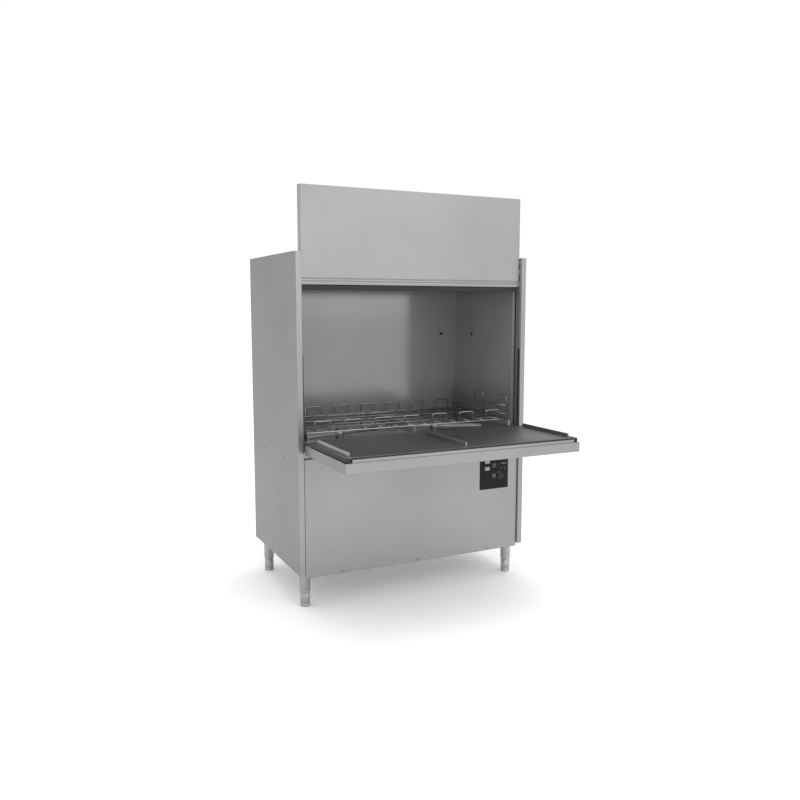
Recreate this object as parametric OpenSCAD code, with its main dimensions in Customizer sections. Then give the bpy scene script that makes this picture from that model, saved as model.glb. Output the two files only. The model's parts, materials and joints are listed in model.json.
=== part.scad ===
// Commercial utensil washer with a split front door.
// The upper door slides up in the side columns, the lower door folds down into a loading table.
// X runs to the right of the front, Y runs into the machine, Z runs up.
// The modules count Y from the front face of the columns, and place() moves it to the row's origin,
// which is on the floor under the middle of the open machine's outline.

/* [Cabinet] */
// Overall width over the side panels
cabinet_w = 1350; // [1125:1:1620]
// Depth from the column face to the rear panel
cabinet_d = 800; // [700:1:960]
// Height of the roof above the floor
cabinet_h = 1818; // [1620:1:2182]
// Clear height under the side panels
leg_h = 185; // [150:1:205]
// Thickness of the outer panels
panel_t = 1.5; // [1:0.1:2]
// Width of the column faces beside the doors
column_w = 29; // [25:1:36]
// Depth of the return bent from each column face
column_return = 20; // [16:1:22]

/* [Chamber] */
// Gap between a chamber side wall and the outer face of its side panel
wall_gap = 42; // [40:1:50]
// Thickness of the chamber walls
wall_t = 1.5; // [1:0.1:2]
// Depth of the pipe space behind the chamber's back wall
rear_space = 100; // [90:1:120]
// Height of the front sill
sill_top = 870; // [860:1:880]
// Distance from the roof panel down to the chamber ceiling
ceiling_gap = 46.5; // [45:0.5:60]
// Depth of the tank below the chamber floor
tank_depth = 246; // [180:1:260]

/* [Upper door] */
// Length of the upper door that stays in the columns when it is raised
door_overlap = 159; // [133:1:191]
// Thickness of the upper door
upper_door_t = 38; // [30:1:38]
// Sheet thickness of the doors
door_sheet = 1.2; // [1:0.1:1.5]
// Diameter of the counterweight pulleys at the groove
pulley_d = 60; // [54:1:64]

/* [Lower door] */
// Height of the lower door's outer tray
lower_door_t = 48; // [44:1:52]
// Height of the sealed inner pan on the lower door
lower_pan_t = 24; // [20:1:24]
// Distance from the hinge axis to the front edge of the lower door
lower_door_reach = 502; // [419:1:602]
// Drop from the sill to the lower door's hinge axis
hinge_drop = 45; // [44:1:50]
// Distance of the hinge axis in front of the columns
hinge_y = 37; // [36:1:38]
// Diameter of the hinge pins
hinge_pin_d = 10; // [8:0.5:12]

/* [Rack] */
// Gap between the rack and each side wall of the chamber
rack_side_gap = 22; // [18:1:40]
// Gap between the rack and the back wall
rack_back_gap = 22; // [20:1:60]
// Height of the tall side loops
rack_h = 140; // [100:5:180]
// Height of the low end loops
loop_low_h = 62; // [40:1:80]
// Diameter of the rack's rim wire
rim_wire = 6; // [5:0.5:8]
// Diameter of the rack's grid wire
grid_wire = 4; // [3:0.5:5]

/* [Spray arms] */
// Least gap beside the tip of a turning arm
arm_tip_gap = 16; // [10:1:40]
// Diameter of the arm pivot pins
arm_pin_d = 16; // [12:1:20]
// Number of jets on each half of an arm
jets = 4; // [2:1:6]

/* [Feet] */
// Distance of the feet in from the side panels
foot_inset = 53; // [53:1:90]
// Diameter of the upper foot tube
foot_tube_d = 56; // [50:1:60]
// Diameter of the lower adjuster
foot_adjuster_d = 51; // [44:1:54]
// Height of the adjuster below the tube
foot_adjuster_h = 74; // [50:1:100]

/* [Services] */
// Diameter of the water inlet thread
inlet_d = 26.4; // [20:0.1:34]
// Diameter of the drain spigot
drain_d = 32; // [28:1:40]
// Bore of the mains cable gland
gland_bore = 11; // [8:0.5:14]
// Length of the service fittings behind the rear panel
fitting_out = 28; // [20:1:40]

/* [Hidden] */
$fn = 48;

// Named clearances.
running_gap = 0.05;   // radial, shaft in a bore
rest_gap = 0.3;       // under a piece that only rests
slide_gap = 0.5;      // beside a sliding piece
door_gap = 3;         // around the doors
weld_gap = 0.05;      // between crossing wires at a spot weld
hole_gap = 0.1;       // around a fixed fitting in its hole
neck = 0.4;           // a fitting's shoulder inside the rear panel, on the radius

// Cabinet planes.
side_x = cabinet_w / 2;
column_in = side_x - column_w;
door_x = column_in - door_gap;
wall_x = side_x - wall_gap;
frame_y = 62;
back_y = cabinet_d - rear_space;
chamber_d = back_y - frame_y - panel_t;
roof_z = cabinet_h - panel_t;
ceiling_z = roof_z - ceiling_gap + panel_t;
frame_z = leg_h + panel_t;
deck_z = sill_top - 84;
deck_t = 2;
deck_in = wall_x + wall_t;

// Base frame.
foot_x = side_x - foot_inset;
tube = 40;
tube_wall = 2.5;
post_in = foot_x - tube / 2;
post_out = foot_x + tube / 2;
foot_front_y = 85;
foot_rear_y = cabinet_d - 84;
frame_front = foot_front_y - tube / 2;
frame_rear = foot_rear_y + tube / 2;
tray_z = frame_z + tube;
tray_t = 2;

// Upper door, drawn in its raised position.
upper_y = column_return;
hinge_z = sill_top - hinge_drop;
closed_top = roof_z - 2.5;
upper_door_h = closed_top - hinge_z - lower_door_reach - door_gap;
upper_bottom = closed_top - door_overlap;
upper_top = upper_bottom + upper_door_h;
lip_h = 36;
seal_drop = 25;
shoe_h = 24;
shoe_y = upper_y + 4;
shoe_d = 30;
shoe_z = upper_bottom + 8;
shoe_pitch = 66;
guide_in = column_in + 4;
guide_top = shoe_z + shoe_pitch + shoe_h - 3;

// Counterweights.
cable_x = side_x - 20;
cable_d = 4;
cable_y = shoe_y + shoe_d / 2;
pulley_y = cable_y + pulley_d / 2;
pulley_z = roof_z - pulley_d / 2 - 3.5;
pulley_t = 10;
axle_d = 10;
weight_t = 26;
weight_d = 60;
weight_h = 600;
weight_z = deck_z - 106;

// Lower door, drawn open.
lower_bottom = hinge_z - 12;
lower_top = lower_bottom + lower_door_t;
pan_top = lower_top + lower_pan_t;
lower_front = -hinge_y - lower_door_reach;
lower_x = column_in - 1.5;
lower_sheet = 1.5;
gasket_t = 6;
pan_x = lower_x - 13.5;
corner_block = 28;
pan_front = lower_front + 9;
pan_rear = -20;
lug_x = lower_x - 38.5;
lug_t = 12;
lug_r = hinge_pin_d / 2 + 4;
block_rear = -12;
block_front = -97;
runner_w = 8;
rack_w = 2 * (wall_x - rack_side_gap);
rail_x = rack_w / 2 - rim_wire / 2;

// Rack, drawn pushed into the chamber.
rack_z = pan_top + 18;
rack_front = 78;
rack_rear = back_y - rack_back_gap;

// Spray arms.
arm_x = rail_x / 2;
arm_y = frame_y + panel_t + chamber_d / 2;
arm_half = min(arm_x - runner_w / 2 - arm_tip_gap, chamber_d / 2 - 2 * arm_tip_gap - 2);
lower_arm_z = deck_z + 42;
upper_arm_z = ceiling_z - 70;
hub_d = 60;
hub_h = 40;
post_d = 40;

// Tank, pump and pipes.
tank_x = post_in - 22;
tank_front = 90;
tank_rear = back_y - 20;
tank_bottom = deck_z - tank_depth;
pump_z = tray_z + 103.5;
pump_r = 95;
manifold_z = tank_bottom - 60;
pipe_d = 50;
pipe_wall = 2;
riser_y = back_y + wall_t + 44;
riser_d = 38;
suction_x = -150;
strainer_z = deck_z - 20;
strainer_t = 1.5;
strainer_slots = 9;
strainer_slot = [8, 130];
strainer_edge = 60;
strainer_ledge = 12;

// Pump and motor.
pump_half = 40;
pump_wall = 6;
pump_foot = 50;
shaft_d = 20;
impeller_d = 140;
impeller_blades = 6;
motor_d = 150;
motor_end = 290;
motor_foot = [80, 240];

// Controls.
front_y = 10;
panel_bottom = leg_h - 17;
panel_top = deck_z - 1;
fascia_x0 = column_in - 252.5;
fascia_w = 186;
fascia_z0 = 523;
fascia_h = 220;
fascia_t = 3;
key_size = 26;
key_x = fascia_x0 + 91;
key_z = [fascia_z0 + 134.5, fascia_z0 + 76];
key_travel = 1;
key_gap = 0.4;
button_x = fascia_x0 + 138;
button_z = fascia_z0 + 70;
button_d = 38;
stem_d = 8;
window_x = fascia_x0 + 32;
window_w = 31;
window_h = 20;
window_z = [fascia_z0 + 108, fascia_z0 + 147];
box_d = 48;
box_wall = 1.2;
box_rim = [6, 8, 14];

// Service fittings on the rear panel.
inlet_x = foot_x - 202;
inlet_z = tray_z + 73.5;
drain_x = 172 - foot_x;
drain_z = tray_z + 63.5;
gland_x = foot_x - 82;
gland_z = tray_z + 203.5;
gland_d = 20;
valve = 50;
valve_rear = cabinet_d - 12;
drain_pump_y = cabinet_d - 160;
dosing_w = 70;
dosing_x = [62 - foot_x, 152 - foot_x];
dosing_y = 115;
boiler_x = foot_x - 192;
boiler_y = cabinet_d - 240;
boiler_d = 200;
boiler_h = 253;
boiler_legs = 40;
vent_x = 260;
vent_z = 560;
vent_pitch = 24;
vents = 5;

// The row's origin lies under the middle of the open machine's outline.
origin_y = (lower_front + cabinet_d + fitting_out) / 2;

// ---------- helpers ----------
module slab(x, y, z) translate([x[0], y[0], z[0]]) cube([x[1] - x[0], y[1] - y[0], z[1] - z[0]]);
module place() translate([0, -origin_y, 0]) children();
module pair() { children(); mirror([1, 0, 0]) children(); }
module rod_x(x, y, z, d) translate([x[0], y, z]) rotate([0, 90, 0]) cylinder(d = d, h = x[1] - x[0]);
module rod_y(x, y, z, d) translate([x, y[0], z]) rotate([-90, 0, 0]) cylinder(d = d, h = y[1] - y[0]);
module rod_z(x, y, z, d) translate([x, y, z[0]]) cylinder(d = d, h = z[1] - z[0]);

// ---------- frame and feet ----------
module frame_bars(cut) {
    w = [post_in + cut, post_out - cut];
    pair() {
        slab(w, [frame_front + cut, frame_rear - cut], [frame_z + cut, frame_z + tube - cut]);
        slab(w, [frame_front + cut, frame_front + tube - cut], [frame_z + cut, deck_z - cut]);
        slab(w, [frame_rear - tube + cut, frame_rear - cut], [frame_z + cut, deck_z - cut]);
    }
    for (y = [frame_front, (frame_front + frame_rear - tube) / 2, frame_rear - tube])
        slab([-post_in - cut, post_in + cut], [y + cut, y + tube - cut],
            [frame_z + cut, frame_z + tube - cut]);
}
module base_frame() {
    color("silver") difference() {
        frame_bars(0);
        frame_bars(tube_wall);
    }
}
module base_tray() {
    color("lightgray") difference() {
        slab([-post_out, post_out], [frame_front, frame_rear], [tray_z, tray_z + tray_t]);
        pair() for (y = [frame_front, frame_rear - tube])
            slab([post_in, post_out + 1], [y - 1, y + tube + 1], [tray_z - 1, tray_z + tray_t + 1]);
    }
}
module feet_tubes() {
    color("silver") pair() for (y = [foot_front_y, foot_rear_y])
        rod_z(foot_x, y, [foot_adjuster_h, frame_z], foot_tube_d);
}
module feet_adjusters() {
    color("silver") pair() for (y = [foot_front_y, foot_rear_y]) {
        rod_z(foot_x, y, [2, foot_adjuster_h], foot_adjuster_d);
        rod_z(foot_x, y, [0, 2], foot_adjuster_d - 4);
    }
}

// ---------- outer panels ----------
module side_panel() {
    slab([side_x - panel_t, side_x], [panel_t, cabinet_d - panel_t], [leg_h, roof_z]);
    slab([post_out, side_x - panel_t], [frame_front, frame_rear], [frame_z, frame_z + panel_t]);
    slab([side_x - 20, side_x - panel_t], [cabinet_d - 2 * panel_t, cabinet_d - panel_t], [leg_h, roof_z]);
}
module left_side_panel() color("gainsboro") mirror([1, 0, 0]) side_panel();
module right_side_panel() color("gainsboro") side_panel();
module rear_panel() {
    cut = [cabinet_d - 5, cabinet_d + 5];
    color("gainsboro") difference() {
        slab([-side_x, side_x], [cabinet_d - panel_t, cabinet_d], [leg_h, roof_z]);
        rod_y(inlet_x, cut, inlet_z, inlet_d + 2 * (neck + hole_gap));
        rod_y(drain_x, cut, drain_z, drain_d + 2 * (neck + hole_gap));
        rod_y(gland_x, cut, gland_z, gland_d + 2 * hole_gap);
        for (x = [-vent_x, vent_x], i = [0:vents - 1])
            slab([x - 90, x + 90], cut, [vent_z + vent_pitch * i, vent_z + vent_pitch * i + vent_pitch / 4]);
    }
}
module roof_panel() {
    color("gainsboro") slab([-side_x, side_x], [frame_y, cabinet_d], [roof_z, cabinet_h]);
}
module column() {
    slab([column_in, side_x], [0, panel_t], [leg_h, roof_z]);
    slab([column_in, column_in + panel_t], [panel_t, column_return], [leg_h, roof_z]);
}
module front_columns() color("whitesmoke") pair() column();
module front_panel() {
    x = column_in - 4;
    color("gainsboro") difference() {
        union() {
            slab([-x, x], [front_y, front_y + panel_t], [panel_bottom, panel_top]);
            slab([-x, x], [front_y, front_y + 20], [panel_bottom, panel_bottom + panel_t]);
            slab([-x, x], [front_y, front_y + 17], [panel_top - panel_t, panel_top]);
            pair() slab([x - panel_t, x], [front_y, front_y + 20], [panel_bottom, panel_top]);
            pair() slab([x - panel_t, x], [front_y, frame_front], [frame_z, panel_top]);
        }
        for (z = key_z) rod_y(key_x, [front_y - 1, front_y + 5], z, stem_d + 2);
        rod_y(button_x, [front_y - 1, front_y + 5], button_z, stem_d + 2);
    }
}

// ---------- door opening ----------
module door_seals() {
    color("black") {
        pair() slab([column_in - gasket_t, column_in], [8, column_return - 2],
            [hinge_z - 2, hinge_z + lower_door_reach - 16]);
        slab([-door_x + 15, door_x - 15], [frame_y - 38.4, frame_y - 34], [sill_top - 24, sill_top - 10]);
    }
}
module door_guides() {
    x = side_x - panel_t;
    color("silver") pair() {
        slab([x - panel_t, x], [shoe_y - 2, shoe_y + shoe_d + 2], [sill_top, guide_top]);
        slab([guide_in, x], [shoe_y - 2, shoe_y - slide_gap], [sill_top, guide_top]);
        slab([guide_in, x], [shoe_y + shoe_d + slide_gap, shoe_y + shoe_d + 2], [sill_top, guide_top]);
    }
}
module front_frame() {
    color("lightgray") difference() {
        slab([-column_in, column_in], [frame_y, frame_y + panel_t], [deck_z, roof_z]);
        slab([-column_in + 16, column_in - 16], [frame_y - 1, frame_y + panel_t + 1], [sill_top, ceiling_z]);
    }
}
module sill() {
    x = column_in - 7;
    color("lightgray") difference() {
        slab([-x, x], [frame_y - 34, frame_y], [deck_z, sill_top]);
        slab([-x + wall_t, x - wall_t], [frame_y - 34 + wall_t, frame_y - wall_t],
            [deck_z + wall_t, sill_top - wall_t]);
    }
}
module hinge_lugs() {
    color("dimgray") pair() difference() {
        union() {
            rod_x([lug_x - lug_t / 2, lug_x + lug_t / 2], -hinge_y, hinge_z, 2 * lug_r);
            slab([lug_x - lug_t / 2, lug_x + lug_t / 2], [-hinge_y, frame_y - 34],
                [hinge_z - lug_r, hinge_z + lug_r]);
        }
        rod_x([lug_x - lug_t, lug_x + lug_t], -hinge_y, hinge_z, hinge_pin_d + 2 * running_gap);
    }
}

// ---------- chamber ----------
module chamber_side_wall() {
    slab([wall_x, wall_x + wall_t], [frame_y + panel_t, back_y + wall_t],
        [deck_z + deck_t, ceiling_z + wall_t]);
}
module chamber_left_wall() color("silver") mirror([1, 0, 0]) chamber_side_wall();
module chamber_right_wall() color("silver") chamber_side_wall();
module chamber_back_wall() {
    color("silver") {
        slab([-wall_x, wall_x], [back_y, back_y + wall_t], [deck_z + deck_t, ceiling_z]);
        rod_y(wall_x - 105, [back_y - 8, back_y + 1], sill_top + 508, 16);
    }
}
module chamber_ceiling() {
    color("silver") difference() {
        slab([-wall_x, wall_x], [frame_y + panel_t, back_y + wall_t], [ceiling_z, ceiling_z + wall_t]);
        for (x = [-arm_x, arm_x]) rod_z(x, arm_y, [ceiling_z - 1, ceiling_z + 5], post_d + 2 * hole_gap);
    }
}
module rack_rails() {
    color("silver") {
        for (x = [-rail_x, 0, rail_x])
            slab([x - runner_w / 2, x + runner_w / 2], [frame_y - 17, back_y - 3],
                [sill_top, rack_z - rest_gap]);
        slab([-wall_x, wall_x], [back_y - 28, back_y], [sill_top - 1.5, sill_top]);
        slab([-wall_x, wall_x], [back_y - 1.5, back_y], [sill_top - 30, sill_top]);
    }
}
module wash_tank() {
    color("silver") difference() {
        union() {
            slab([-deck_in, deck_in], [frame_y + panel_t, back_y + 3], [deck_z, deck_z + deck_t]);
            slab([-tank_x, tank_x], [tank_front, tank_rear], [tank_bottom, deck_z]);
        }
        slab([-tank_x + wall_t, tank_x - wall_t], [tank_front + wall_t, tank_rear - wall_t],
            [tank_bottom + wall_t, deck_z + deck_t + 1]);
        for (x = [-arm_x, arm_x])
            rod_z(x, arm_y, [tank_bottom - 1, tank_bottom + 5], post_d + 2 * hole_gap);
        rod_z(suction_x, arm_y, [tank_bottom - 1, tank_bottom + 5], pipe_d);
    }
}
module tank_strainers() {
    half = tank_x - wall_t - 1;
    rim_y = [tank_front + wall_t + 1, tank_rear - wall_t - 1];
    pitch = half / strainer_slots;
    cut = [strainer_z - 5, strainer_z + 5];
    slot_y = [rim_y[0] + strainer_edge, rim_y[1] - strainer_edge - strainer_slot[1]];
    color("gray") pair() {
        difference() {
            slab([2, half], rim_y, [strainer_z, strainer_z + strainer_t]);
            rod_z(arm_x, arm_y, cut, post_d + 6);
            for (i = [0:strainer_slots - 1], y = slot_y) translate([(i + 0.5) * pitch, 0, 0])
                slab([-strainer_slot[0] / 2, strainer_slot[0] / 2], [y, y + strainer_slot[1]], cut);
        }
        slab([2, half + 1], [rim_y[0] - 1, rim_y[0] + strainer_ledge], [strainer_z - 2, strainer_z]);
        slab([2, half + 1], [rim_y[1] - strainer_ledge, rim_y[1] + 1], [strainer_z - 2, strainer_z]);
    }
}

// ---------- controls ----------
module control_fascia() {
    half = key_size / 2 + key_gap;
    color("black") difference() {
        slab([fascia_x0, fascia_x0 + fascia_w], [front_y - fascia_t, front_y],
            [fascia_z0, fascia_z0 + fascia_h]);
        for (z = key_z)
            slab([key_x - half, key_x + half], [front_y - fascia_t - 1, front_y + 1], [z - half, z + half]);
        rod_y(button_x, [front_y - fascia_t - 1, front_y + 1], button_z, button_d + 2 * key_gap);
        windows(1, 0);
    }
}
module windows(proud, inset) {
    for (z = window_z) slab([window_x + inset, window_x + window_w - inset],
        [front_y - fascia_t - proud, front_y - 1], [z + inset, z + window_h - inset]);
}
module display_windows() color("lightsteelblue") windows(0, 0.1);
module electrical_box() {
    y = front_y + panel_t;
    x = [fascia_x0 - box_rim[0], fascia_x0 + fascia_w + box_rim[1]];
    z = [fascia_z0 - box_rim[2], fascia_z0 + fascia_h + box_rim[2]];
    color("gray") difference() {
        slab(x, [y, y + box_d], z);
        slab([x[0] + box_wall, x[1] - box_wall], [y - 1, y + box_d - box_wall],
            [z[0] + box_wall, z[1] - box_wall]);
    }
}
module key(z) {
    y = front_y - fascia_t - 2;
    color("darkgray") {
        slab([key_x - key_size / 2, key_x + key_size / 2], [y, front_y - key_travel - key_gap],
            [z - key_size / 2, z + key_size / 2]);
        rod_y(key_x, [front_y - key_travel - key_gap - 0.1, front_y + 8], z, stem_d);
    }
}
module program_key() key(key_z[0]);
module power_key() key(key_z[1]);
module start_button() {
    color("dimgray") {
        rod_y(button_x, [front_y - fascia_t - 2, front_y - key_travel - key_gap], button_z, button_d);
        rod_y(button_x, [front_y - key_travel - key_gap - 0.1, front_y + 8], button_z, stem_d);
    }
}

// ---------- pump and pipes ----------
module pump_casing() {
    color("gray") difference() {
        union() {
            rod_x([-pump_half, pump_half], arm_y, pump_z, 2 * pump_r);
            slab([-pump_half, pump_half], [arm_y - pump_foot, arm_y + pump_foot],
                [tray_z + tray_t, pump_z - 60]);
        }
        rod_x([pump_wall - pump_half, pump_half - pump_wall], arm_y, pump_z, 2 * (pump_r - pump_wall));
        rod_x([pump_half - 10, pump_half + 10], arm_y, pump_z, shaft_d + 2 * running_gap);
        rod_x([-pump_half - 10, 10 - pump_half], arm_y, pump_z, pipe_d);
        rod_z(0, arm_y, [pump_z + pump_r - 20, pump_z + pump_r + 10], pipe_d);
    }
}
module pump_motor() {
    color("dimgray") difference() {
        union() {
            rod_x([pump_half + rest_gap, motor_end], arm_y, pump_z, motor_d);
            slab(motor_foot, [arm_y - 60, arm_y + 60], [tray_z + tray_t, pump_z - 60]);
        }
        rod_x([pump_half - 10, motor_end - 90], arm_y, pump_z, shaft_d + 4);
    }
}
module pump_impeller() {
    color("silver") {
        rod_x([-14, motor_end - 110], arm_y, pump_z, shaft_d);
        rod_x([-16, -12], arm_y, pump_z, impeller_d);
        for (i = [0:impeller_blades - 1])
            translate([0, arm_y, pump_z]) rotate([i * 360 / impeller_blades, 0, 0])
                slab([-13, 12], [8, impeller_d / 2 - 4], [-2, 2]);
    }
}
module pipe_z(x, y, z, d) difference() {
    rod_z(x, y, z, d);
    rod_z(x, y, [z[0] - 1, z[1] + 1], d - 2 * pipe_wall);
}
module wash_pipework() {
    up_d = pipe_d - 2;
    back_d = pipe_d - 4;
    suction_d = pipe_d - 8;
    bore = pipe_d - 2 * pipe_wall;
    color("silver") {
        difference() {
            union() {
                rod_x([-arm_x - 30, arm_x + 30], arm_y, manifold_z, pipe_d);
                rod_z(0, arm_y, [pump_z + pump_r - 6, manifold_z], up_d);
                for (x = [-arm_x, arm_x]) rod_z(x, arm_y, [manifold_z, tank_bottom], post_d);
                rod_y(0, [arm_y, riser_y - pipe_d / 2 - 1], manifold_z, back_d);
            }
            rod_x([-arm_x - 28, arm_x + 28], arm_y, manifold_z, bore);
            rod_z(0, arm_y, [pump_z + pump_r - 10, manifold_z], up_d - 2 * pipe_wall);
            rod_y(0, [arm_y, riser_y], manifold_z, back_d - 2 * pipe_wall);
        }
        difference() {
            union() {
                rod_x([suction_x, -pump_half], arm_y, pump_z, up_d);
                rod_z(suction_x, arm_y, [pump_z, manifold_z - pipe_d / 2 - 2], up_d);
                translate([suction_x, arm_y, pump_z]) sphere(d = up_d);
            }
            rod_x([suction_x, 10 - pump_half], arm_y, pump_z, suction_d);
            rod_z(suction_x, arm_y, [pump_z, tank_bottom], suction_d);
        }
    }
}
module riser_pipe() {
    top = ceiling_z + wall_t + 22;
    z = top - riser_d / 2 + 18;
    color("silver") {
        pipe_z(0, riser_y, [manifold_z - 30, top], pipe_d);
        rod_y(0, [arm_y, riser_y - pipe_d / 2], z, riser_d);
        pair() rod_x([riser_d / 2, arm_x + 30], arm_y, z, riser_d);
    }
}
module arm_post(z, dir) {
    pin = arm_pin_d;
    base = dir > 0 ? tank_bottom : ceiling_z + wall_t + 1.5;
    seat = z - dir * rest_gap;
    low = min(base, seat);
    high = max(base, seat);
    tip = z + dir * (hub_h + rest_gap);
    rod_z(0, arm_y, [low, high], post_d);
    rod_z(0, arm_y, [min(seat, tip), max(seat, tip)], pin);
    rod_z(0, arm_y, [min(tip, tip + dir * 8), max(tip, tip + dir * 8)], 30);
}
module arm_posts() {
    color("silver") for (x = [-arm_x, arm_x]) translate([x, 0, 0]) {
        arm_post(lower_arm_z, 1);
        arm_post(upper_arm_z, -1);
    }
}
module arm(x, z, dir, turn) {
    half = arm_half;
    over = dir > 0 ? 0 : 1;
    color("lightgray") translate([x, arm_y, z]) rotate([0, 0, turn]) mirror([0, 0, over]) difference() {
        union() {
            cylinder(d = hub_d, h = hub_h);
            slab([-half, half], [-17, 17], [4, 26]);
            rotate([0, 0, 12]) slab([-half * 0.92, half * 0.92], [-6, 6], [24, 36]);
        }
        translate([0, 0, -1]) cylinder(d = arm_pin_d + 2 * running_gap, h = hub_h + 2);
        for (s = [-1, 1], i = [1:jets]) translate([s * (40 + (half - 60) * i / jets), 0, 15])
            cylinder(d = 7, h = 40);
    }
}
module lower_left_arm() arm(-arm_x, lower_arm_z, 1, 18);
module lower_right_arm() arm(arm_x, lower_arm_z, 1, -24);
module upper_left_arm() arm(-arm_x, upper_arm_z, -1, -20);
module upper_right_arm() arm(arm_x, upper_arm_z, -1, 26);

// ---------- services ----------
module boiler() {
    z = tray_z + boiler_legs;
    r = boiler_d / 2 - 25;
    color("silver") {
        rod_z(boiler_x, boiler_y, [z, z + boiler_h], boiler_d);
        for (a = [45:90:315])
            rod_z(boiler_x + r * cos(a), boiler_y + r * sin(a), [tray_z + tray_t, z + 7], 14);
        rod_z(boiler_x, boiler_y, [z + boiler_h - 1, z + boiler_h + 14], 120);
    }
}
module inlet_valve() {
    color("white") {
        slab([inlet_x - valve / 2, inlet_x + valve / 2], [valve_rear - valve, valve_rear],
            [tray_z + tray_t, inlet_z + valve / 2]);
        rod_y(inlet_x, [valve_rear - 8, cabinet_d], inlet_z, inlet_d + 2 * neck);
        rod_y(inlet_x, [cabinet_d - 1, cabinet_d + fitting_out], inlet_z, inlet_d);
        rod_z(inlet_x, valve_rear - valve / 2, [inlet_z + valve / 2 - 5, inlet_z + valve / 2 + 35], 32);
    }
}
module dosing_pumps() {
    color("white") for (x = dosing_x) {
        slab([x, x + dosing_w], [dosing_y, dosing_y + dosing_w], [tray_z + tray_t, tray_z + 90]);
        rod_y(x + dosing_w / 2, [dosing_y - 15, dosing_y + 1], tray_z + 50, dosing_w - 14);
    }
}
module drain_pump() {
    color("dimgray") {
        rod_z(drain_x, drain_pump_y, [tray_z + tray_t, drain_z + 30], 110);
        rod_z(drain_x, drain_pump_y, [drain_z + 29, drain_z + 120], 80);
        rod_y(drain_x, [drain_pump_y, cabinet_d], drain_z, drain_d + 2 * neck);
        rod_y(drain_x, [cabinet_d - 1, cabinet_d + fitting_out], drain_z, drain_d);
    }
}
module cable_gland() {
    color("black") difference() {
        union() {
            rod_y(gland_x, [cabinet_d - 12, cabinet_d + 6], gland_z, gland_d);
            translate([gland_x, cabinet_d, gland_z]) rotate([-90, 0, 0]) cylinder(d = 28, h = 6, $fn = 6);
            rod_y(gland_x, [cabinet_d + 6, cabinet_d + fitting_out], gland_z, 22);
            rod_y(gland_x, [cabinet_d - 8, cabinet_d - panel_t], gland_z, 27);
        }
        rod_y(gland_x, [cabinet_d - 20, cabinet_d + fitting_out + 1], gland_z, gland_bore);
    }
}

// ---------- counterweights ----------
module pulley_axles() {
    color("gray") pair() rod_x([wall_x + wall_t, side_x - panel_t], pulley_y, pulley_z, axle_d);
}
module pulleys() {
    r = pulley_d / 2;
    color("white") pair() difference() {
        rod_x([cable_x - pulley_t / 2, cable_x + pulley_t / 2], pulley_y, pulley_z, 2 * r + 4);
        rod_x([cable_x - pulley_t, cable_x + pulley_t], pulley_y, pulley_z, axle_d + 2 * running_gap);
        translate([cable_x, pulley_y, pulley_z]) rotate([0, 90, 0])
            rotate_extrude() {
                translate([r, 0]) circle(d = cable_d + 2 * rest_gap);
                translate([r, -cable_d / 2 - rest_gap]) square([5, cable_d + 2 * rest_gap]);
            }
    }
}
module counterweights() {
    y = pulley_y + pulley_d / 2;
    color("dimgray") pair() slab([cable_x - weight_t / 2, cable_x + weight_t / 2],
        [y - weight_d / 2, y + weight_d / 2], [weight_z, weight_z + weight_h]);
}
module counterweight_cables() {
    rear_y = pulley_y + pulley_d / 2;
    color("gray") pair() {
        rod_z(cable_x, cable_y, [shoe_z + shoe_pitch + shoe_h, pulley_z], cable_d);
        rod_z(cable_x, rear_y, [weight_z + weight_h, pulley_z], cable_d);
        translate([cable_x, pulley_y, pulley_z]) rotate([90, 0, 90])
            rotate_extrude(angle = 180) translate([pulley_d / 2, 0]) circle(d = cable_d);
    }
}

// ---------- upper door ----------
module upper_door_skin() {
    y = upper_y;
    z0 = upper_bottom + lip_h;
    color("gainsboro") {
        slab([-door_x, door_x], [y, y + door_sheet], [z0, upper_top]);
        slab([-door_x, door_x], [y, y + upper_door_t], [upper_top - door_sheet, upper_top]);
        pair() slab([door_x - door_sheet, door_x], [y, y + upper_door_t], [z0, upper_top]);
    }
}
module upper_door_liner() {
    y = upper_y + upper_door_t;
    x = door_x - door_sheet;
    color("lightgray") {
        slab([-x, x], [y - door_sheet, y], [upper_bottom + lip_h, upper_top - door_sheet]);
        for (i = [-1:1]) slab([i * x / 2 - door_sheet / 2, i * x / 2 + door_sheet / 2],
            [upper_y + door_sheet, y - door_sheet], [upper_bottom + lip_h, upper_top - door_sheet]);
    }
}
module upper_door_lip() {
    z = upper_bottom;
    y = upper_y;
    e = y + upper_door_t;
    color("whitesmoke") translate([-door_x, 0, 0]) rotate([90, 0, 90])
        linear_extrude(2 * door_x) difference() {
        polygon([[y + 3, z], [y, z + 3], [y, z + 16], [y + 3, z + 17.5], [y + 3, z + 20.5], [y, z + 22],
            [y, z + 28], [y + 3, z + 29.5], [y + 3, z + 32.5], [y, z + lip_h], [e, z + lip_h], [e, z]]);
        polygon([[y + 5, z + 2], [y + 5, z + lip_h - 2], [e - 2, z + lip_h - 2], [e - 2, z + 2]]);
    }
}
module upper_door_seal() {
    color("black") slab([-door_x + 15, door_x - 15], [upper_y + 7, upper_y + 13],
        [upper_bottom - seal_drop, upper_bottom]);
}
module guide_shoes() {
    color("white") pair() for (z = [shoe_z, shoe_z + shoe_pitch])
        slab([door_x, side_x - 2 * panel_t - slide_gap], [shoe_y, shoe_y + shoe_d], [z, z + shoe_h]);
}

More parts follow.
